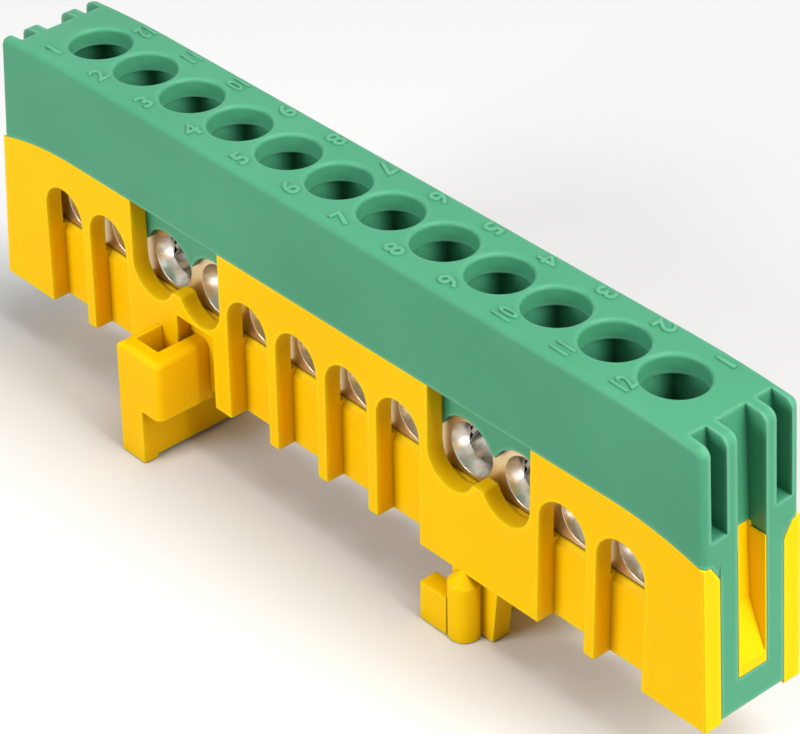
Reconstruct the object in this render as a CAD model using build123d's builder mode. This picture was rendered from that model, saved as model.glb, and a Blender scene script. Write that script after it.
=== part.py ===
import os

from build123d import *

os.makedirs("parts", exist_ok=True)

# Insulated terminal bar: a moulded base with two rail feet, a snap-fitted moulded
# cover, a plated brass bar with cross holes for the wires, and one clamping
# screw above each wire hole. X runs along the row, Z is up, the feet stand on Z = 0.

# Row of wire ways
pitch = 6.5
ways = 12

# Housing
depth = 10.84
end_room = 4.2
flare = 0.065
foot_h = 6.6
base_h = 16.85
cover_h = 9.85
wall = 1.7
end_sag = 1.5
sag_len = 10.0
sag_mid_part = 0.55
sag_mid_fall = 0.31
top_sag = 0.6
top_sag_len = 11.0

# Bar and its wire holes
bar_w = 6.0
bar_h = 6.7
bar_margin = 0.5
wire_under = 6.15
wire_r = 1.95
sink_r = 2.5
sink_depth = 1.4
tap_low = 1.0
bar_drop = 4.0
bar_gap = 0.05

# Wire openings in the long sides
arch_r = 2.65
scoop_r = 2.8
scoop_peak = 1.0
peak_round = 0.4
recess = 1.82
ledge_drop = 3.6
ledge_bevel = 0.7

# Cover
rim_r = 2.87
rim_round = 0.35
roof = 1.85
skirt_t = 0.6
skirt_r = 3.3
skirt_tip = 1.3
skirt_root = 0.3
edge_round = 0.65
rib_t = 0.7

# Ends: four fins, three slots and the snap strap
slot_deep = 2.15
slot_lean = 0.095
slot_down = 9.1
mid_slot_w = 3.2
fin_w = 1.15
side_slot_w = 1.75
fin_round = 0.9
strap_w = 7.1
strap_t = 1.6
strap_short = 0.4
window_w = 3.3
window_bar = 2.9
cheek_t = 0.18
wedge_h = 5.4
wedge_lip = 1.0
strip_bevel = 1.0
strip_slope = 1.6
leg_root = 0.1
strap_root = 0.4
fit_gap = 0.05

# Clamping screws
screw_r = 2.35
screw_gap = 0.03
shank_len = 6.5
head_r = 2.7
head_h = 2.6
slot_w = 0.8
slot_h = 1.3
tip_bevel = 0.4
tip_clear = 0.15

# Rail feet
rail_gap = 35.8
rail_mid = -1.7
plate_t = 3.2
plate_front = 4.5
plate_back = 4.0
lip_deep = 1.5
lip_h = 0.35
tube_w = 5.7
tube_rise = 5.3
tube_drop = 0.9
tube_wall = 0.95
tube_far = 1.7
tube_front = 1.55
tube_bevel = 0.6
tube_round = 0.8
pad_x = 3.2
pad_w = 5.0
pad_cut = 1.45
hook_len = 2.6
hook_t = 1.85
hook_h = 3.95
hook_out = 1.1
post_r = 1.45
post_in = 0.2
post_drop = 1.0
toe_w = 2.0
toe_t = 1.9
toe_in = 1.1
toe_taper = 0.7
web_t = 2.0
foot_root = 0.5
toe_root = 0.2
hook_root = 0.3
post_cone = 0.9

# Underside pockets
floor_t = 1.2
pocket_w = 4.8
pocket_gap = 1.2
pocket_near = 0.4

# Levels and positions that follow from the sizes above
half_d = depth / 2
seam_z = foot_h + base_h
top_z = seam_z + cover_h
wire_z = seam_z - wire_under
bar_z = wire_z - bar_drop
bar_top = bar_z + bar_h
bar_len = ways * pitch + 2 * bar_margin
bar_half = bar_len / 2
half_len = bar_half + end_room
ledge_z = wire_z - ledge_drop + ledge_bevel
in_y = bar_w / 2 + bar_gap
gap_y = half_d - wall
hole_x = [(i - (ways - 1) / 2) * pitch for i in range(ways)]
first_pair = 2
last_pair = ways - 4
pairs = [(first_pair, first_pair + 1), (last_pair, last_pair + 1)]
paired = [i for pair in pairs for i in pair]
singles = [i for i in range(ways) if i not in paired]
plate_x = rail_mid - rail_gap / 2
post_x = rail_mid + rail_gap / 2
foot_top = foot_h + foot_root


def end_x(z):
    """Half length of the housing at height z; the ends lean outwards downwards."""
    return half_len + flare * (top_z - z)


def slot_x(z):
    """Inner wall of the end slots at height z, on a steeper lean than the ends."""
    return half_len - slot_deep + slot_lean * (top_z - z)


sag_z = seam_z - end_sag
sag_x = end_x(sag_z)
sag_start = sag_x - sag_len
sag_mid_x = sag_start + sag_mid_part * sag_len
sag_mid_z = seam_z - sag_mid_fall * end_sag
top_end = end_x(top_z - top_sag)
top_start = top_end - top_sag_len
top_mid = top_start + sag_mid_part * top_sag_len
over = 1.0


def seam_profile(lift):
    """Closed line under the seam: the base outline, or over it for the cover."""
    if lift:
        far_z = top_z
    else:
        far_z = foot_h
    far_x = end_x(far_z)
    Line((-far_x, far_z), (far_x, far_z))
    Line((far_x, far_z), (sag_x, sag_z))
    ThreePointArc((sag_x, sag_z), (sag_mid_x, sag_mid_z), (sag_start, seam_z))
    Line((sag_start, seam_z), (-sag_start, seam_z))
    ThreePointArc((-sag_start, seam_z), (-sag_mid_x, sag_mid_z), (-sag_x, sag_z))
    Line((-sag_x, sag_z), (-far_x, far_z))


# Base: side walls, bar seat, wire pockets, snap wedges and feet
plate_left = plate_x - plate_t
recess_y = half_d - recess
strap_y = strap_w / 2 + fit_gap
wedge_z = foot_h + strap_short + window_bar + fit_gap
block_x = slot_x(top_z)
ramp_z = wedge_z + wedge_h

with BuildPart() as base:
    with BuildSketch(Plane.XZ):
        with BuildLine():
            seam_profile(False)
        make_face()
    extrude(amount=half_d, both=True)

    # Bar channel: a wide upper part and a close-fitting seat
    with BuildSketch(Plane.XY.offset(ledge_z)):
        Rectangle(bar_len + 4 * bar_gap, 2 * gap_y)
    extrude(amount=base_h, mode=Mode.SUBTRACT)
    with BuildSketch(Plane.XY.offset(bar_z)):
        Rectangle(bar_len + 2 * bar_gap, 2 * in_y)
    extrude(amount=base_h, mode=Mode.SUBTRACT)

    # Arched wire pockets, open at the foot of the wall
    for side in (-1, 1):
        with BuildSketch(Plane.XZ.offset(side * half_d)):
            for i in singles:
                with Locations((hole_x[i], wire_z)):
                    Circle(arch_r)
                with Locations((hole_x[i], (wire_z + foot_h - over) / 2)):
                    Rectangle(2 * arch_r, wire_z - foot_h + over)
        extrude(amount=-side * recess, mode=Mode.SUBTRACT)

        # Lead-in slope at the top of each pocket panel
        for i in singles:
            with BuildSketch(Plane.YZ.offset(hole_x[i])):
                with BuildLine():
                    Polyline(
                        (-side * recess_y, ledge_z - ledge_bevel),
                        (-side * in_y, ledge_z),
                        (-side * recess_y, ledge_z),
                        close=True,
                    )
                make_face()
            extrude(amount=arch_r, both=True, mode=Mode.SUBTRACT)

        # Open double scoops with a rounded peak between their two halves
        with BuildSketch(Plane.XZ.offset(side * half_d)) as scoops:
            for a, b in pairs:
                pair_mid = (hole_x[a] + hole_x[b]) / 2
                with Locations((hole_x[a], wire_z), (hole_x[b], wire_z)):
                    Circle(scoop_r)
                mouth_h = seam_z - wire_z + over
                with Locations((pair_mid, wire_z + mouth_h / 2)):
                    Rectangle(pitch + 2 * scoop_r, mouth_h)
                with Locations((pair_mid, wire_z - scoop_peak / 2)):
                    Rectangle(pitch, scoop_peak)
            peak_z = wire_z - scoop_peak
            peaks = scoops.vertices().filter_by_position(Axis.Y, peak_z - 0.01, peak_z + 0.01)
            fillet(peaks, peak_round)
        extrude(amount=-side * (wall + bar_gap), mode=Mode.SUBTRACT)

    # Shallow step beside the latch tube
    pad_z = wire_z - pad_x
    with BuildSketch(Plane.XZ.offset(half_d)):
        with Locations((plate_x + pad_w / 2, (pad_z + foot_h - over) / 2)):
            Rectangle(pad_w, pad_z - foot_h + over)
    extrude(amount=-pad_cut, mode=Mode.SUBTRACT)

    # Ends: strap recess, catch pocket, cheeks and wedge
    for s in (-1, 1):
        with BuildSketch(Plane.XZ):
            with BuildLine():
                Polyline(
                    (s * (end_x(foot_h - over) - strap_t - fit_gap), foot_h - over),
                    (s * (end_x(foot_h - over) + over), foot_h - over),
                    (s * (end_x(seam_z) + over), seam_z + over),
                    (s * (end_x(seam_z) - strap_t - fit_gap), seam_z + over),
                    close=True,
                )
            make_face()
        extrude(amount=strap_y, both=True, mode=Mode.SUBTRACT)
        cheek_y = window_w / 2 - fit_gap
        with BuildSketch(Plane.XZ):
            with BuildLine():
                Polyline(
                    (s * block_x, wedge_z),
                    (s * end_x(wedge_z), wedge_z),
                    (s * sag_x, sag_z),
                    (s * block_x, sag_z),
                    close=True,
                )
            make_face()
        extrude(amount=cheek_y, both=True)
        with BuildSketch(Plane.XZ):
            with BuildLine():
                Polyline(
                    (s * slot_x(ramp_z), ramp_z),
                    (s * end_x(wedge_z + wedge_lip), wedge_z + wedge_lip),
                    (s * (end_x(wedge_z) + over), wedge_z + wedge_lip),
                    (s * (end_x(seam_z) + over), seam_z + over),
                    (s * slot_x(seam_z + over), seam_z + over),
                    close=True,
                )
            make_face()
        extrude(amount=cheek_y - cheek_t, both=True, mode=Mode.SUBTRACT)
        # Bevelled inner corners of the strips beside the strap
        for side in (-1, 1):
            with BuildSketch(Plane.YZ.offset(s * (sag_x - strap_t))):
                with BuildLine():
                    Polyline(
                        (side * (strap_y - fit_gap), sag_z - strip_slope * strip_bevel),
                        (side * (strap_y + strip_bevel), sag_z),
                        (side * (strap_y + strip_bevel), sag_z + end_sag),
                        (side * (strap_y - fit_gap), sag_z + end_sag),
                        close=True,
                    )
                make_face()
            extrude(amount=s * (strap_t + over), mode=Mode.SUBTRACT)

    # Underside pockets
    for i in range(ways):
        near_left = abs(hole_x[i] - (plate_left + plate_x) / 2) < pocket_w / 2 + plate_t / 2 + pocket_near
        near_right = post_x - hook_len - pocket_near < hole_x[i] + pocket_w / 2
        near_right = near_right and hole_x[i] - pocket_w / 2 < post_x + web_t + toe_w + 2 * pocket_near
        if not near_left and not near_right:
            with BuildSketch(Plane.XY.offset(foot_h)):
                with Locations((hole_x[i], 0)):
                    Rectangle(pocket_w, 2 * (recess_y - pocket_gap))
            extrude(amount=bar_z - foot_h - floor_t, mode=Mode.SUBTRACT)

    # Left foot: standing plate with a lower front lip
    tube_y = half_d + plate_front
    with BuildSketch(Plane.XY):
        with Locations((plate_left + plate_t / 2, (plate_back - tube_y) / 2)):
            Rectangle(plate_t, plate_back + tube_y)
    extrude(amount=foot_top)
    with BuildSketch(Plane.XY):
        with Locations((plate_left + plate_t / 2, (plate_back - tube_y + lip_deep) / 2)):
            Rectangle(plate_t + over, plate_back + tube_y - lip_deep)
    extrude(amount=lip_h, mode=Mode.SUBTRACT)

    # Latch tube for a screwdriver blade, in front of the wall
    tube_top = foot_h + tube_rise
    tube_back = gap_y - 0.1
    with BuildSketch(Plane.XY.offset(foot_h - tube_drop)) as tube_plan:
        with Locations((plate_left + tube_w / 2, -(tube_y + tube_back) / 2)):
            Rectangle(tube_w, tube_y - tube_back)
        corner = tube_plan.vertices().sort_by(Axis.Y)[:2].sort_by(Axis.X)[-1]
        fillet(corner, tube_round)
    extrude(amount=tube_top - foot_h + tube_drop)
    tube_rims = base.edges().filter_by(Axis.Z, reverse=True)
    tube_rims = tube_rims.filter_by_position(Axis.Z, tube_top - 0.01, tube_top + 0.01)
    tube_rims = tube_rims.filter_by_position(Axis.Y, -tube_y - 0.1, -half_d - 0.05)
    fillet(tube_rims, tube_bevel)
    with BuildSketch(Plane.XY.offset(foot_h - tube_drop - over)):
        slot_l = tube_y - tube_front - half_d
        slot_c = half_d + slot_l / 2
        slot_w_x = tube_w - tube_wall - tube_far
        with Locations((plate_left + tube_wall + slot_w_x / 2, -slot_c)):
            Rectangle(slot_w_x, slot_l)
        neck_w = slot_w_x + tube_wall - plate_t
        with Locations((plate_x + neck_w / 2, -(half_d + gap_y + 0.3) / 2)):
            Rectangle(neck_w, half_d - gap_y + 0.2)
    extrude(amount=tube_rise + tube_drop + over, mode=Mode.SUBTRACT)

    # Right foot: web, round posts, rail hooks and tapered toes on both sides
    with BuildSketch(Plane.XY):
        for side in (-1, 1):
            with Locations((post_x + post_r, side * (half_d - post_in))):
                Circle(post_r)
    extrude(amount=foot_h - post_drop)
    with BuildSketch(Plane.XY.offset(foot_h - post_drop)):
        with Locations(*[(post_x + post_r, side * (half_d - post_in)) for side in (-1, 1)]):
            Circle(post_r)
    extrude(amount=post_cone * post_r, taper=45)
    with BuildSketch(Plane.XY):
        with Locations((post_x + web_t / 2, 0)):
            Rectangle(web_t, 2 * (half_d - post_in))
    extrude(amount=foot_top)
    for side in (-1, 1):
        hook_y = side * (half_d + hook_out - hook_t / 2)
        with BuildSketch(Plane.XY):
            with Locations((post_x - hook_len / 2 + hook_root, hook_y)):
                Rectangle(hook_len + 2 * hook_root, hook_t)
        extrude(amount=hook_h)
        toe_y = side * (half_d - toe_in - toe_t / 2)
        toe_x = post_x + web_t
        with BuildSketch(Plane.XZ.offset(-toe_y)):
            with BuildLine():
                Polyline(
                    (toe_x - toe_root, 0),
                    (toe_x + toe_w, 0),
                    (toe_x + toe_w + toe_taper, foot_top),
                    (toe_x - toe_root, foot_top),
                    close=True,
                )
            make_face()
        extrude(amount=toe_t / 2, both=True)

base.part.label = "base"

# Cover: roof with access holes, side walls, inner skirt, fins and snap straps
with BuildPart() as cover:
    with BuildSketch(Plane.XZ):
        with BuildLine():
            seam_profile(True)
        make_face()
    extrude(amount=half_d, both=True)
    # Ends of the top fall away in a gentle curve
    with BuildSketch(Plane.XZ):
        for s in (-1, 1):
            with BuildLine():
                ThreePointArc(
                    (s * top_start, top_z),
                    (s * top_mid, top_z - sag_mid_fall * top_sag),
                    (s * top_end, top_z - top_sag),
                )
                Polyline(
                    (s * top_end, top_z - top_sag),
                    (s * (top_end + over), top_z - top_sag),
                    (s * (top_end + over), top_z + over),
                    (s * top_start, top_z + over),
                    (s * top_start, top_z),
                )
            make_face()
    extrude(amount=half_d, both=True, mode=Mode.SUBTRACT)
    top_edges = cover.edges().filter_by_position(Axis.Z, top_z - top_sag - 0.1, top_z + 0.1)
    end_edges = top_edges.filter_by(Axis.Y).filter_by(lambda e: abs(e.center().X) > top_start + 0.1)
    fillet(end_edges, fin_round)
    side_edges = cover.edges().filter_by_position(Axis.Z, top_z - top_sag - 0.1, top_z + 0.1)
    side_edges = side_edges.filter_by(lambda e: abs(abs(e.center().Y) - half_d) < 0.01)
    fillet(side_edges, edge_round)

    # Hollow under the roof, clear of the screws
    with BuildSketch(Plane.XY.offset(top_z - roof)):
        Rectangle(bar_len + 2 * bar_gap, 2 * in_y)
    extrude(amount=-cover_h, mode=Mode.SUBTRACT)

    # Skirt down over the bar, cut out in arches around the wire holes
    for side in (-1, 1):
        skirt_y = side * (in_y + skirt_t / 2)
        skirt_top = seam_z + skirt_root
        with BuildSketch(Plane.XZ.offset(-skirt_y)):
            with Locations((0, (skirt_top + wire_z + skirt_tip) / 2)):
                Rectangle(bar_len, skirt_top - wire_z - skirt_tip)
            with Locations(*[(x, wire_z) for x in hole_x]):
                Circle(skirt_r, mode=Mode.SUBTRACT)
        extrude(amount=skirt_t / 2, both=True)

    # Hold-down ribs on the bar between the screws
    with BuildSketch(Plane.XY.offset(bar_top)):
        with Locations(*[(x + pitch / 2, 0) for x in hole_x[:-1]]):
            Rectangle(rib_t, 2 * in_y)
    extrude(amount=top_z - roof - bar_top)

    # Access holes with a rounded rim
    old_edges = cover.edges()
    with BuildSketch(Plane.XY.offset(top_z)):
        with Locations(*[(x, 0) for x in hole_x]):
            Circle(rim_r)
    extrude(amount=-roof - 0.1, mode=Mode.SUBTRACT)
    rims = cover.edges() - old_edges
    rims = rims.filter_by_position(Axis.Z, top_z - top_sag, top_z + 0.1)
    rims = rims.filter_by(Axis.Z, reverse=True)
    fillet(rims, rim_round)

    # Fins, slots and the snap strap at each end
    for s in (-1, 1):
        side_slot_y = mid_slot_w / 2 + fin_w + side_slot_w / 2
        slot_z = top_z - slot_down
        low_z = sag_z - over
        for slot_y, floor_z, width in (
            (side_slot_y, slot_z, side_slot_w),
            (-side_slot_y, slot_z, side_slot_w),
            (0, low_z, mid_slot_w),
        ):
            with BuildSketch(Plane.XZ.offset(-slot_y)):
                with BuildLine():
                    Polyline(
                        (s * slot_x(floor_z), floor_z),
                        (s * (end_x(floor_z) + over), floor_z),
                        (s * (end_x(floor_z) + over), top_z + over),
                        (s * slot_x(top_z + over), top_z + over),
                        close=True,
                    )
                make_face()
            extrude(amount=width / 2, both=True, mode=Mode.SUBTRACT)
        strap_z = foot_h + strap_short
        strap_top = sag_z + strap_root
        for side in (-1, 1):
            leg_y = side * (window_w + strap_w) / 4
            with BuildSketch(Plane.XZ.offset(-leg_y)):
                with BuildLine():
                    Polyline(
                        (s * (end_x(strap_z) - strap_t), strap_z),
                        (s * end_x(strap_z), strap_z),
                        (s * end_x(strap_top), strap_top),
                        (s * (end_x(strap_top) - strap_t), strap_top),
                        close=True,
                    )
                make_face()
            extrude(amount=(strap_w - window_w) / 4, both=True)
            # Wedge that fills the bevelled corner of the strip beside the strap
            with BuildSketch(Plane.YZ.offset(s * (sag_x - strap_t))):
                with BuildLine():
                    Polyline(
                        (side * (strap_w / 2 - leg_root), sag_z - strip_slope * strip_bevel + fit_gap),
                        (side * strap_w / 2, sag_z - strip_slope * strip_bevel + fit_gap),
                        (side * (strap_w / 2 + strip_bevel), sag_z),
                        (side * (strap_w / 2 + strip_bevel), strap_top),
                        (side * (strap_w / 2 - leg_root), strap_top),
                        close=True,
                    )
                make_face()
            extrude(amount=s * strap_t)
        with BuildSketch(Plane.XZ):
            with BuildLine():
                Polyline(
                    (s * (end_x(strap_z) - strap_t), strap_z),
                    (s * end_x(strap_z), strap_z),
                    (s * end_x(strap_z + window_bar), strap_z + window_bar),
                    (s * (end_x(strap_z + window_bar) - strap_t), strap_z + window_bar),
                    close=True,
                )
            make_face()
        extrude(amount=strap_w / 2, both=True)

cover.part.label = "cover"

# Plated bar with bevelled wire holes across it and tapped holes from above
with BuildPart() as bar:
    with BuildSketch(Plane.XY.offset(bar_z)):
        Rectangle(bar_len, bar_w)
    extrude(amount=bar_h)
    with BuildSketch(Plane.XZ):
        with Locations(*[(x, wire_z) for x in hole_x]):
            Circle(wire_r)
    extrude(amount=bar_w, both=True, mode=Mode.SUBTRACT)
    for side in (-1, 1):
        for x in hole_x:
            with BuildSketch(Plane.XZ.offset(side * (bar_w / 2 - sink_depth))):
                with Locations((x, wire_z)):
                    Circle(wire_r)
            with BuildSketch(Plane.XZ.offset(side * bar_w / 2)):
                with Locations((x, wire_z)):
                    Circle(sink_r)
            loft(mode=Mode.SUBTRACT)
    with BuildSketch(Plane.XY.offset(wire_z - tap_low)):
        with Locations(*[(x, 0) for x in hole_x]):
            Circle(screw_r + screw_gap)
    extrude(amount=bar_h, mode=Mode.SUBTRACT)

bar.part.label = "bar"

# One clamping screw over each wire hole, backed out so the hole is clear
tip_z = wire_z + wire_r + tip_clear
for i in range(ways):
    with BuildPart() as screw:
        with BuildSketch(Plane.XY.offset(tip_z)):
            with Locations((hole_x[i], 0)):
                Circle(screw_r)
        extrude(amount=shank_len)
        chamfer(screw.edges().group_by(Axis.Z)[0], tip_bevel)
        with BuildSketch(Plane.XY.offset(tip_z + shank_len)):
            with Locations((hole_x[i], 0)):
                Circle(head_r)
        extrude(amount=head_h)
        with BuildSketch(Plane.XY.offset(tip_z + shank_len + head_h - slot_h)):
            with Locations((hole_x[i], 0)):
                Rectangle(slot_w, 2 * head_r + over)
        extrude(amount=slot_h + over, mode=Mode.SUBTRACT)
    screw.part.label = f"screw_{i + 1:02d}"
    export_step(screw.part, f"parts/screw_{i + 1:02d}.step")

export_step(base.part, "parts/base.step")
export_step(cover.part, "parts/cover.step")
export_step(bar.part, "parts/bar.step")
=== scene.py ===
import math

import bmesh
import bpy
from mathutils import Matrix, Vector


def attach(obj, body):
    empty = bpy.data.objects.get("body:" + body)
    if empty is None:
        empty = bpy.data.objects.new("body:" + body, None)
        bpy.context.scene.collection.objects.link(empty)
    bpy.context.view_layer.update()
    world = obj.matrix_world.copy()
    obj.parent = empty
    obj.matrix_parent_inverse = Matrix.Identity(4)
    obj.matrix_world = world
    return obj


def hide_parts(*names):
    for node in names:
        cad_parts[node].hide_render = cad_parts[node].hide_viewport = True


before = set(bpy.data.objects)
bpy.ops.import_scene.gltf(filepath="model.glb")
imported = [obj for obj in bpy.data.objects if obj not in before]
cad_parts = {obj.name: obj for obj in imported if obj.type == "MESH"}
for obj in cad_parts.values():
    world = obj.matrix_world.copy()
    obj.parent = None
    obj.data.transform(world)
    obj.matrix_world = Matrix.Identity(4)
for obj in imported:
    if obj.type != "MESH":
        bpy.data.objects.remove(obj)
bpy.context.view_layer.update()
MM = 0.001

# Sizes that the dressing shares with the solids, in millimetres
PITCH = 6.5
WAYS = 12
HOLE_X = [(i - (WAYS - 1) / 2) * PITCH for i in range(WAYS)]
TOP_Z = 33.3
WIRE_Z = 17.3
WIRE_R = 1.95
MOUTH_Y = 1.6
MOUTH_SLOPE = 0.393
BAR_TOP = 20.0
TAP_LOW = WIRE_Z - 1.0
TIP_Z = 19.4
SHANK = 6.5
SCREW_R = 2.35
HEAD_R = 2.7
HEAD_H = 2.6
SLOT_W = 0.8
SLOT_H = 1.3
THREAD_PITCH = 0.8
SCREW_ROOT_R = SCREW_R - 0.55
SCREW_CREST_R = SCREW_R - 0.20
TAP_ROOT_R = SCREW_R + 0.025
TAP_CREST_R = SCREW_R - 0.175


# Camera at the photograph's angle: angles in radians, the aim and the distance in pitches
FRAME_PX = 800.0
FOCAL_PX = 3380.208
SHIFT_PX = (-34.0265, -133.9054)
CAMERA_AZIMUTH = 0.853872
CAMERA_RISE = 0.567875
CAMERA_ROLL = -0.020363
CAMERA_AIM = (0.687901, -0.590357)
CAMERA_DISTANCE = 42.547212
SENSOR_WIDTH = 36.0


def add_camera():
    az, el, roll = CAMERA_AZIMUTH, CAMERA_RISE, CAMERA_ROLL
    target = Vector((CAMERA_AIM[0] * PITCH, CAMERA_AIM[1] * PITCH, TOP_Z))
    dist = CAMERA_DISTANCE * PITCH
    back = Vector((math.sin(az) * math.cos(el), -math.cos(az) * math.cos(el), math.sin(el)))
    right = Vector((math.cos(az), math.sin(az), 0.0))
    up = right.cross(-back)
    rolled_right = math.cos(roll) * right + math.sin(roll) * up
    rolled_up = -math.sin(roll) * right + math.cos(roll) * up
    data = bpy.data.cameras.new("camera")
    data.sensor_width = SENSOR_WIDTH
    data.lens = FOCAL_PX * SENSOR_WIDTH / FRAME_PX
    data.shift_x = -SHIFT_PX[0] / FRAME_PX
    data.shift_y = SHIFT_PX[1] / FRAME_PX
    data.clip_start = 0.01
    data.clip_end = 20.0
    cam = bpy.data.objects.new("camera", data)
    bpy.context.scene.collection.objects.link(cam)
    place = (target + dist * back) * MM
    m = Matrix.Identity(4)
    for k in range(3):
        m[k][0], m[k][1], m[k][2], m[k][3] = rolled_right[k], rolled_up[k], back[k], place[k]
    cam.matrix_world = m
    bpy.context.scene.camera = cam


# Node helpers
ROUND_SAMPLES = 3
EDGE_SAMPLES = 2
EDGE_FULL = 0.60
PAINTED_SHADE_SAMPLES = 3


def new_material(name):
    mat = bpy.data.materials.new(name)
    mat.use_nodes = True
    tree = mat.node_tree
    tree.nodes.clear()
    out = tree.nodes.new("ShaderNodeOutputMaterial")
    shader = tree.nodes.new("ShaderNodeBsdfPrincipled")
    tree.links.new(shader.outputs[0], out.inputs[0])
    return mat, tree, shader


def stretched(tree, coord, scale):
    """Coordinates scaled by their own factor along each axis."""
    m = tree.nodes.new("ShaderNodeMapping")
    m.inputs["Scale"].default_value = scale
    tree.links.new(coord, m.inputs["Vector"])
    return m.outputs[0]


def noise(tree, coord, scale, detail, rough=0.5):
    n = tree.nodes.new("ShaderNodeTexNoise")
    n.inputs["Scale"].default_value = scale
    n.inputs["Detail"].default_value = detail
    n.inputs["Roughness"].default_value = rough
    tree.links.new(coord, n.inputs["Vector"])
    return n.outputs["Fac"]


def ramp(tree, fac, stops):
    r = tree.nodes.new("ShaderNodeValToRGB")
    els = r.color_ramp.elements
    while len(els) < len(stops):
        els.new(0.5)
    for e, (pos, col) in zip(els, stops):
        e.position = pos
        e.color = (*col, 1.0)
    tree.links.new(fac, r.inputs[0])
    return r.outputs[0]


def mix(tree, fac, a, b):
    m = tree.nodes.new("ShaderNodeMix")
    m.data_type = "RGBA"
    for sock, val in ((m.inputs[0], fac), (m.inputs[6], a), (m.inputs[7], b)):
        if isinstance(val, tuple):
            sock.default_value = (*val, 1.0)
        else:
            tree.links.new(val, sock)
    return m.outputs[2]


def math_node(tree, op, a, b=0.0):
    m = tree.nodes.new("ShaderNodeMath")
    m.operation = op
    for sock, val in ((m.inputs[0], a), (m.inputs[1], b)):
        if hasattr(val, "default_value"):
            tree.links.new(val, sock)
        else:
            sock.default_value = val
    return m.outputs[0]


def map_range(tree, val, lo, hi, to_lo, to_hi):
    m = tree.nodes.new("ShaderNodeMapRange")
    tree.links.new(val, m.inputs[0])
    for k, v in zip((1, 2, 3, 4), (lo, hi, to_lo, to_hi)):
        m.inputs[k].default_value = v
    return m.outputs[0]


def bump(tree, height, strength, distance, normal):
    b = tree.nodes.new("ShaderNodeBump")
    b.inputs["Strength"].default_value = strength
    b.inputs["Distance"].default_value = distance
    tree.links.new(height, b.inputs["Height"])
    tree.links.new(normal, b.inputs["Normal"])
    return b.outputs[0]


def rounded(tree, radius):
    """Softened normals at the edges."""
    b = tree.nodes.new("ShaderNodeBevel")
    b.samples = ROUND_SAMPLES
    b.inputs["Radius"].default_value = radius
    return b.outputs[0]


def outer_edges(tree, reach):
    """Mask for a painted highlight: bright along outer edges only, where the solid is thin just under the
    surface.
    """
    a = tree.nodes.new("ShaderNodeAmbientOcclusion")
    a.inside = True
    a.only_local = True
    a.samples = EDGE_SAMPLES
    a.inputs["Distance"].default_value = reach
    return map_range(tree, a.outputs["AO"], 1.0, EDGE_FULL, 0.0, 1.0)


def hollows(tree, reach, wide, shut):
    """Mask for painted shade: bright deep in slots, pockets and corners, where the colour is darkened towards
    a shade tone.

    wide and shut are the openness at which the mask starts and at which it is full.
    """
    a = tree.nodes.new("ShaderNodeAmbientOcclusion")
    a.samples = PAINTED_SHADE_SAMPLES
    a.inputs["Distance"].default_value = reach
    return map_range(tree, a.outputs["AO"], wide, shut, 0.0, 1.0)


# Moulded plastic: scales are per metre, shares are factors, edges, rounds and depths are lengths
CLOUD_SCALE = 55.0
SPECK_SCALE = 1900.0
SPECK_SHARE = 0.10
FLOW_SCALE = (60.0, 260.0, 900.0)
FLOW_SHARE = 0.5
WEAR_SCALE = 260.0
GRAIN_SCALE = 5200.0
GRAIN_STRENGTH = 0.16
GRAIN_DEPTH = 0.02 * MM
MOULD_ROUND = 0.22 * MM
MOULD_EDGE_HIGHLIGHT = 0.42 * MM
MOULD_EDGE_HIGHLIGHT_SHARE = 0.50
PAINTED_SHADE_SHARE = 0.85
GLOW_SHARE = 0.12
GLOW_SPREAD = (1.0, 0.6, 0.3)
GLOW_DEPTH = 0.6 * MM

# Plated metal, in the same way; its painted shade in the hollows takes a reach and its mask's two ends, the
# mask of the flat side faces such ends
PATCH_SCALE = 420.0
PIT_SCALE = 3000.0
PIT_SHARE = 0.4
DENT_SCALE = 1100.0
DENT_SHARE = 3.0
METAL_STRENGTH = 0.20
METAL_DEPTH = 0.03 * MM
METAL_ROUND = 0.10 * MM
METAL_EDGE_HIGHLIGHT = 0.15 * MM
METAL_EDGE_HIGHLIGHT_SHARE = 0.4
METAL_EDGE_HIGHLIGHT_TONE = (0.95, 0.93, 0.90)
METAL_PAINTED_SHADE = (0.7 * MM, 0.75, 0.30)
METAL_PAINTED_SHADE_TONE = (0.10, 0.09, 0.07)
SIDE_NORMAL_LEVELS = (0.96, 0.99)
DRAWN_DULL = 0.12


def share(tree, mask, part):
    """A mask at part of its strength."""
    return math_node(tree, "MULTIPLY", mask, part)


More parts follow.
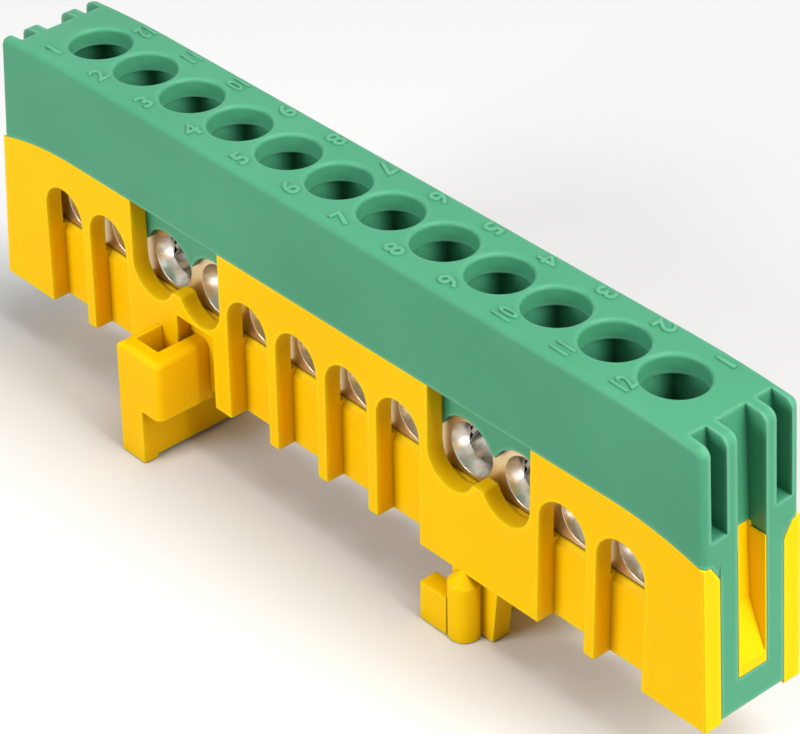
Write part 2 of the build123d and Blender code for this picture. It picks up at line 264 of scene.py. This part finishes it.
def plastic(name, colour, pale, deep, highlight_tone, shade, depth, rough, shine):
    """Moulded plastic: clouded tone, spark-eroded grain, flow marks, a painted highlight along outer edges
    and painted shade in slots and pockets.
    """
    mat, tree, shader = new_material(name)
    coord = tree.nodes.new("ShaderNodeTexCoord").outputs["Object"]
    cloud = noise(tree, coord, CLOUD_SCALE, 3.0, 0.55)
    tone = ramp(tree, cloud, [(0.30, deep), (0.52, colour), (0.75, pale)])
    speck = noise(tree, coord, SPECK_SCALE, 2.0, 0.6)
    tone = mix(tree, map_range(tree, speck, 0.60, 0.75, 0.0, SPECK_SHARE), tone, pale)
    # Painted highlight: outer edges lightened towards the highlight colour.
    tone = mix(tree, share(tree, outer_edges(tree, MOULD_EDGE_HIGHLIGHT), MOULD_EDGE_HIGHLIGHT_SHARE), tone, highlight_tone)
    # Painted shade: slots, pockets and corners darkened towards the shade colour.
    tone = mix(tree, share(tree, hollows(tree, *depth), PAINTED_SHADE_SHARE), tone, shade)
    tree.links.new(tone, shader.inputs["Base Color"])
    wear = noise(tree, coord, WEAR_SCALE, 5.0, 0.65)
    tree.links.new(map_range(tree, wear, 0.35, 0.7, rough - 0.05, rough + 0.08), shader.inputs["Roughness"])
    flow = noise(tree, stretched(tree, coord, FLOW_SCALE), 1.0, 4.0, 0.6)
    grain = noise(tree, coord, GRAIN_SCALE, 2.0, 0.5)
    height = math_node(tree, "ADD", share(tree, flow, FLOW_SHARE), grain)
    normal = bump(tree, height, GRAIN_STRENGTH, GRAIN_DEPTH, rounded(tree, MOULD_ROUND))
    tree.links.new(normal, shader.inputs["Normal"])
    shader.inputs["IOR"].default_value = 1.5
    shader.inputs["Specular IOR Level"].default_value = shine
    shader.inputs["Subsurface Weight"].default_value = GLOW_SHARE
    shader.inputs["Subsurface Radius"].default_value = GLOW_SPREAD
    shader.inputs["Subsurface Scale"].default_value = GLOW_DEPTH
    return mat


def side_faces(tree):
    """Mask of the flat faces that look along Y."""
    g = tree.nodes.new("ShaderNodeNewGeometry")
    parts = tree.nodes.new("ShaderNodeSeparateXYZ")
    tree.links.new(g.outputs["True Normal"], parts.inputs[0])
    return map_range(tree, math_node(tree, "ABSOLUTE", parts.outputs["Y"]), *SIDE_NORMAL_LEVELS, 0.0, 1.0)


def metal(name, bright, dull, reflection_tint, rough, tool_scale):
    """Plated metal: tool marks, small pits and dents; rougher on the flat side faces, which also carry a
    painted reflection tint, with a painted highlight along outer edges and painted shade in the hollows.
    """
    mat, tree, shader = new_material(name)
    coord = tree.nodes.new("ShaderNodeTexCoord").outputs["Object"]
    patch = noise(tree, coord, PATCH_SCALE, 5.0, 0.6)
    dull_reflecting_sides = side_faces(tree)
    # Painted reflection: the flat faces that look along Y take a tint that stands in for what they reflect;
    # the same mask makes them rougher.
    tone = mix(tree, dull_reflecting_sides, ramp(tree, patch, [(0.32, dull), (0.60, bright)]), reflection_tint)
    # Painted highlight: outer edges lightened towards a pale tone.
    tone = mix(tree, share(tree, outer_edges(tree, METAL_EDGE_HIGHLIGHT), METAL_EDGE_HIGHLIGHT_SHARE), tone, METAL_EDGE_HIGHLIGHT_TONE)
    # Painted shade: hollows and thread roots darkened towards a dark tone.
    tone = mix(tree, share(tree, hollows(tree, *METAL_PAINTED_SHADE), PAINTED_SHADE_SHARE), tone, METAL_PAINTED_SHADE_TONE)
    tree.links.new(tone, shader.inputs["Base Color"])
    shader.inputs["Metallic"].default_value = 1.0
    haze = map_range(tree, patch, 0.3, 0.7, rough + 0.10, rough)
    tree.links.new(math_node(tree, "ADD", haze, share(tree, dull_reflecting_sides, DRAWN_DULL)), shader.inputs["Roughness"])
    marks = noise(tree, stretched(tree, coord, tool_scale), 1.0, 3.0, 0.6)
    pits = noise(tree, coord, PIT_SCALE, 2.0, 0.5)
    dents = noise(tree, coord, DENT_SCALE, 3.0, 0.55)
    height = math_node(tree, "ADD", marks, share(tree, pits, PIT_SHARE))
    height = math_node(tree, "ADD", height, share(tree, dents, DENT_SHARE))
    normal = bump(tree, height, METAL_STRENGTH, METAL_DEPTH, rounded(tree, METAL_ROUND))
    tree.links.new(normal, shader.inputs["Normal"])
    return mat


# In each plastic the lighter edge colour is a painted highlight along outer edges, and the shade colour is
# painted shade in slots and pockets.
GREEN = plastic(
    "cover_green",
    colour=(0.062, 0.302, 0.163),
    pale=(0.072, 0.326, 0.179),
    deep=(0.054, 0.280, 0.149),
    highlight_tone=(0.200, 0.560, 0.370),
    shade=(0.012, 0.135, 0.062),
    depth=(1.8 * MM, 0.80, 0.30),
    rough=0.44,
    shine=0.25,
)
# A slightly paler copy of the cover green for the raised numbers: a painted highlight.
NUMBER_GREEN_PAINTED_LIGHTER = plastic(
    "number_green",
    colour=(0.066, 0.312, 0.170),
    pale=(0.075, 0.332, 0.184),
    deep=(0.058, 0.290, 0.156),
    highlight_tone=(0.130, 0.440, 0.270),
    shade=(0.030, 0.200, 0.100),
    depth=(0.6 * MM, 0.80, 0.35),
    rough=0.44,
    shine=0.25,
)
YELLOW = plastic(
    "base_yellow",
    colour=(0.985, 0.560, 0.000),
    pale=(0.995, 0.600, 0.001),
    deep=(0.960, 0.525, 0.000),
    highlight_tone=(1.000, 0.760, 0.010),
    shade=(0.420, 0.270, 0.000),
    depth=(3.0 * MM, 0.47, 0.20),
    rough=0.50,
    shine=0.08,
)
PLATING = metal(
    "bar_plating",
    bright=(0.86, 0.83, 0.78),
    dull=(0.72, 0.67, 0.60),
    reflection_tint=(0.74, 0.60, 0.38),
    rough=0.20,
    tool_scale=(300.0, 2200.0, 2200.0),
)
# A darker, rougher copy of the bar plating for the tapped threads: the darker colour is painted shade that
# dims their glints.
THREAD = metal(
    "bar_thread",
    bright=(0.62, 0.60, 0.57),
    dull=(0.40, 0.38, 0.35),
    reflection_tint=(0.52, 0.48, 0.42),
    rough=0.34,
    tool_scale=(2200.0, 2200.0, 600.0),
)
STEEL = metal(
    "screw_steel",
    bright=(0.82, 0.82, 0.80),
    dull=(0.60, 0.60, 0.58),
    reflection_tint=(0.66, 0.66, 0.64),
    rough=0.28,
    tool_scale=(2400.0, 2400.0, 500.0),
)


def dress(node, mat):
    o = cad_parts[node]
    o.data.materials.clear()
    o.data.materials.append(mat)


dress("base", YELLOW)
dress("cover", GREEN)
dress("bar", PLATING)


def add_object(name, data, mat):
    o = bpy.data.objects.new(name, data)
    bpy.context.scene.collection.objects.link(o)
    if not data.materials:
        data.materials.append(mat)
    return o


SHARP_DEG = 40


def finished_mesh(name, bm):
    """Smooth-shaded mesh with its sharp edges kept."""
    me = bpy.data.meshes.new(name)
    bm.to_mesh(me)
    bm.free()
    me.shade_smooth()
    me.set_sharp_from_angle(angle=math.radians(SHARP_DEG))
    return me


# Screws and tapped holes
SCREW_SEG = 48
TAP_SEG = 56
THREAD_STEPS = 8
ROOT_FLAT = 0.08
FLANK = 0.78
END_GAP = 0.02
TIP_FLAT_R = 0.6
TIP_ROUND = 0.1
THREAD_START = 0.15
THREAD_FADE = 0.5
NECK = 0.05
HEAD_EDGE = 0.15
RIM_STEPS = 24
RIM_DROP = 0.22
RIM_INSET = 0.25
RIM_EASE = 0.08
SLOT_TURN = (20, 47)


def thread_wave(t):
    """Height of the thread form over one pitch, from 0 in the root to 1 on the crest."""
    t = t % 1.0
    w = 1.0 - abs(2.0 * t - 1.0)
    return min(1.0, max(0.0, (w - ROOT_FLAT) / FLANK))


def thread_rings(bm, r_minor, r_major, z0, z1, seg, fade=0.0):
    """Rings of a helical thread from z0 up to z1, which grows out of the root over fade."""
    n = max(2, int(round((z1 - z0) / THREAD_PITCH * THREAD_STEPS)))
    rings = []
    for k in range(n + 1):
        z = z0 + (z1 - z0) * k / n
        part = 1.0
        if fade > 0.0:
            part = min(1.0, (z - z0) / fade)
        ring = []
        for j in range(seg):
            a = 2.0 * math.pi * j / seg
            w = thread_wave(z / THREAD_PITCH - j / seg)
            r = r_minor + (r_major - r_minor) * w * part
            ring.append(bm.verts.new((r * math.cos(a) * MM, r * math.sin(a) * MM, z * MM)))
        rings.append(ring)
    return rings


def join_rings(bm, rings, flip=False):
    seg = len(rings[0])
    for a, b in zip(rings, rings[1:]):
        for j in range(seg):
            k = (j + 1) % seg
            quad = [a[j], a[k], b[k], b[j]]
            if flip:
                quad.reverse()
            bm.faces.new(quad)


def plain_ring(bm, r, z, seg):
    turns = [2 * math.pi * j / seg for j in range(seg)]
    return [bm.verts.new((r * math.cos(a) * MM, r * math.sin(a) * MM, z * MM)) for a in turns]


def screw_mesh():
    bm = bmesh.new()
    shank_top = TIP_Z + SHANK
    top = shank_top + HEAD_H
    floor = top - SLOT_H
    below = ((TIP_FLAT_R, TIP_Z), (SCREW_ROOT_R - TIP_ROUND, TIP_Z + END_GAP))
    above = (
        (SCREW_ROOT_R, shank_top - NECK),
        (HEAD_R - HEAD_EDGE, shank_top),
        (HEAD_R, shank_top + HEAD_EDGE),
        (HEAD_R, floor),
    )
    rings = [plain_ring(bm, r, z, SCREW_SEG) for r, z in below]
    start = TIP_Z + THREAD_START
    end = shank_top - THREAD_FADE
    rings += thread_rings(bm, SCREW_ROOT_R, SCREW_CREST_R, start, end, SCREW_SEG, THREAD_FADE)
    rings += [plain_ring(bm, r, z, SCREW_SEG) for r, z in above]
    join_rings(bm, rings)
    bm.faces.new(list(reversed(rings[0])))
    bm.faces.new(rings[-1])
    # Two half discs stand beside the driver slot; each level has a radius, a height and half the slot's width
    half = SLOT_W / 2
    levels = (
        (HEAD_R, floor, half),
        (HEAD_R, top - RIM_DROP, half),
        (HEAD_R - RIM_EASE, top - RIM_EASE, half),
        (HEAD_R - RIM_INSET, top, half + RIM_EASE),
    )
    for side in (-1, 1):
        layers = []
        for r, z, cut in levels:
            a0 = math.asin(cut / r)
            pts = []
            for k in range(RIM_STEPS + 1):
                a = a0 + (math.pi - 2 * a0) * k / RIM_STEPS
                pts.append(bm.verts.new((side * r * math.sin(a) * MM, side * -r * math.cos(a) * MM, z * MM)))
            layers.append(pts)
        join_rings(bm, layers)
        bm.faces.new(layers[-1])
    bmesh.ops.recalc_face_normals(bm, faces=bm.faces)
    return finished_mesh("screw", bm)


def in_wire_hole(point):
    """Whether a point of the tapped wall lies in the wire hole or its bevelled mouth."""
    x, y, z = (v / MM for v in point)
    r = WIRE_R + max(0.0, abs(y) - MOUTH_Y) * MOUTH_SLOPE
    return math.hypot(x, z - WIRE_Z) < r


def tapped_mesh():
    """Lining of a tapped hole, with its ridges inwards, open where the wire hole crosses it."""
    bm = bmesh.new()
    rings = thread_rings(bm, TAP_ROOT_R, TAP_CREST_R, TAP_LOW + END_GAP, BAR_TOP - END_GAP, TAP_SEG)
    join_rings(bm, rings, flip=True)
    gone = [f for f in bm.faces if in_wire_hole(f.calc_center_median())]
    bmesh.ops.delete(bm, geom=gone, context="FACES")
    return finished_mesh("tapped_thread", bm)


screw_data = screw_mesh()
tapped_data = tapped_mesh()
for i, x in enumerate(HOLE_X):
    node = f"screw_{i + 1:02d}"
    place = Matrix.Translation((x * MM, 0, 0))
    turn = math.radians((i * SLOT_TURN[1] + SLOT_TURN[0]) % 180)
    o = add_object(f"clamp_{node}", screw_data, STEEL)
    o.matrix_world = place @ Matrix.Rotation(turn, 4, "Z")
    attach(o, f"{node}_body")
    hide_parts(node)
    t = add_object(f"tapped_thread_{i + 1:02d}", tapped_data, THREAD)
    t.matrix_world = place
    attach(t, "housing")


# Raised way numbers on the cover
NUMBER_SIZE = 2.7
NUMBER_RAISE = 0.14
NUMBER_DEPTH = 0.12
NUMBER_BEVEL = 0.05
NUMBER_WEIGHT = 0.02
PAIR_SQUEEZE = 0.62
NUMBER_SPOT = {"front": (-1.75, -3.85), "back": (1.30, 4.15)}
SAG_START = 32.7
SAG_LEN = 11.0
TOP_SAG = 0.6


def top_drop(x):
    """How far the cover's top lies under its middle level at x, near the ends."""
    return TOP_SAG * (max(0.0, abs(x) - SAG_START) / SAG_LEN) ** 2


def number(n, row):
    """Number n of the front or the back row; the back row counts the other way and stands on its head."""
    data = bpy.data.curves.new(f"number_{row}_{n:02d}", "FONT")
    data.body = str(n)
    data.size = NUMBER_SIZE * MM
    data.align_x = "CENTER"
    data.align_y = "CENTER"
    data.extrude = NUMBER_DEPTH * MM
    data.bevel_depth = NUMBER_BEVEL * MM
    data.bevel_resolution = 1
    data.offset = NUMBER_WEIGHT * MM
    data.resolution_u = 6
    tmp = bpy.data.objects.new("tmp", data)
    bpy.context.scene.collection.objects.link(tmp)
    bpy.context.view_layer.update()
    me = bpy.data.meshes.new_from_object(tmp.evaluated_get(bpy.context.evaluated_depsgraph_get()))
    bpy.data.objects.remove(tmp)
    if n > 9:
        me.transform(Matrix.Diagonal((PAIR_SQUEEZE, 1.0, 1.0, 1.0)))
    o = add_object(f"number_{row}_{n:02d}", me, NUMBER_GREEN_PAINTED_LIGHTER)
    x, y = NUMBER_SPOT[row]
    turn = math.radians(90)
    if row == "back":
        x -= HOLE_X[n - 1]
        turn += math.pi
    else:
        x += HOLE_X[n - 1]
    z = TOP_Z - top_drop(x) + NUMBER_RAISE - NUMBER_DEPTH - NUMBER_BEVEL
    o.matrix_world = Matrix.Translation((x * MM, y * MM, z * MM)) @ Matrix.Rotation(turn, 4, "Z")
    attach(o, "housing")


for n in range(1, WAYS + 1):
    number(n, "front")
    number(n, "back")


# Floor, light and background
FLOOR_HALF = 3.0
FLOOR_UNDER = 0.0001
FLOOR_TONES = ((0.70, 0.70, 0.70), (0.73, 0.73, 0.73))
FLOOR_BOUNCE = (0.45, 0.45, 0.45)
WORLD_LIGHT = 0.18
WORLD_SEEN = 1.0
LAMP_AIM = (0.0, 0.0, 0.015)
LAMPS = (
    # Name, place, size, power and colour
    ("key", (0.22, 0.08, 0.60), (0.40, 0.40), 3.4, (1.0, 1.0, 1.0)),
    ("side", (0.55, 0.07, 0.30), (0.28, 0.30), 2.8, (1.0, 0.99, 0.96)),
    ("front", (-0.11, -0.42, 0.23), (0.22, 0.18), 1.60, (1.0, 1.0, 1.0)),
)


def seen_directly(tree):
    """One where the camera or a gloss or glass sees the surface, zero where it only lights the part."""
    path = tree.nodes.new("ShaderNodeLightPath")
    seen = math_node(tree, "MAXIMUM", path.outputs["Is Camera Ray"], path.outputs["Is Glossy Ray"])
    return math_node(tree, "MAXIMUM", seen, path.outputs["Is Transmission Ray"])


def add_floor():
    me = bpy.data.meshes.new("floor")
    s = FLOOR_HALF
    me.from_pydata([(-s, -s, 0), (s, -s, 0), (s, s, 0), (-s, s, 0)], [], [(0, 1, 2, 3)])
    o = bpy.data.objects.new("floor", me)
    bpy.context.scene.collection.objects.link(o)
    o.location.z = -FLOOR_UNDER
    mat, tree, shader = new_material("floor_paper")
    coord = tree.nodes.new("ShaderNodeTexCoord").outputs["Object"]
    tone = ramp(tree, noise(tree, coord, 6.0, 2.0), list(zip((0.3, 0.7), FLOOR_TONES)))
    tree.links.new(mix(tree, seen_directly(tree), FLOOR_BOUNCE, tone), shader.inputs["Base Color"])
    shader.inputs["Roughness"].default_value = 0.9
    me.materials.append(mat)


def add_lamp(name, place, size, power, colour):
    data = bpy.data.lights.new(name, "AREA")
    data.shape = "RECTANGLE"
    data.size, data.size_y = size
    data.energy = power
    data.color = colour
    o = bpy.data.objects.new(name, data)
    bpy.context.scene.collection.objects.link(o)
    o.location = place
    o.rotation_euler = (Vector(LAMP_AIM) - Vector(place)).to_track_quat("-Z", "Y").to_euler()


add_floor()
for lamp in LAMPS:
    add_lamp(*lamp)

world = bpy.data.worlds.new("studio")
world.use_nodes = True
bpy.context.scene.world = world
tree = world.node_tree
sky = tree.nodes["Background"]
sky.inputs[0].default_value = (1.0, 1.0, 1.0, 1.0)
tree.links.new(map_range(tree, seen_directly(tree), 0.0, 1.0, WORLD_LIGHT, WORLD_SEEN), sky.inputs[1])

bpy.context.scene.view_settings.view_transform = "Standard"
add_camera()
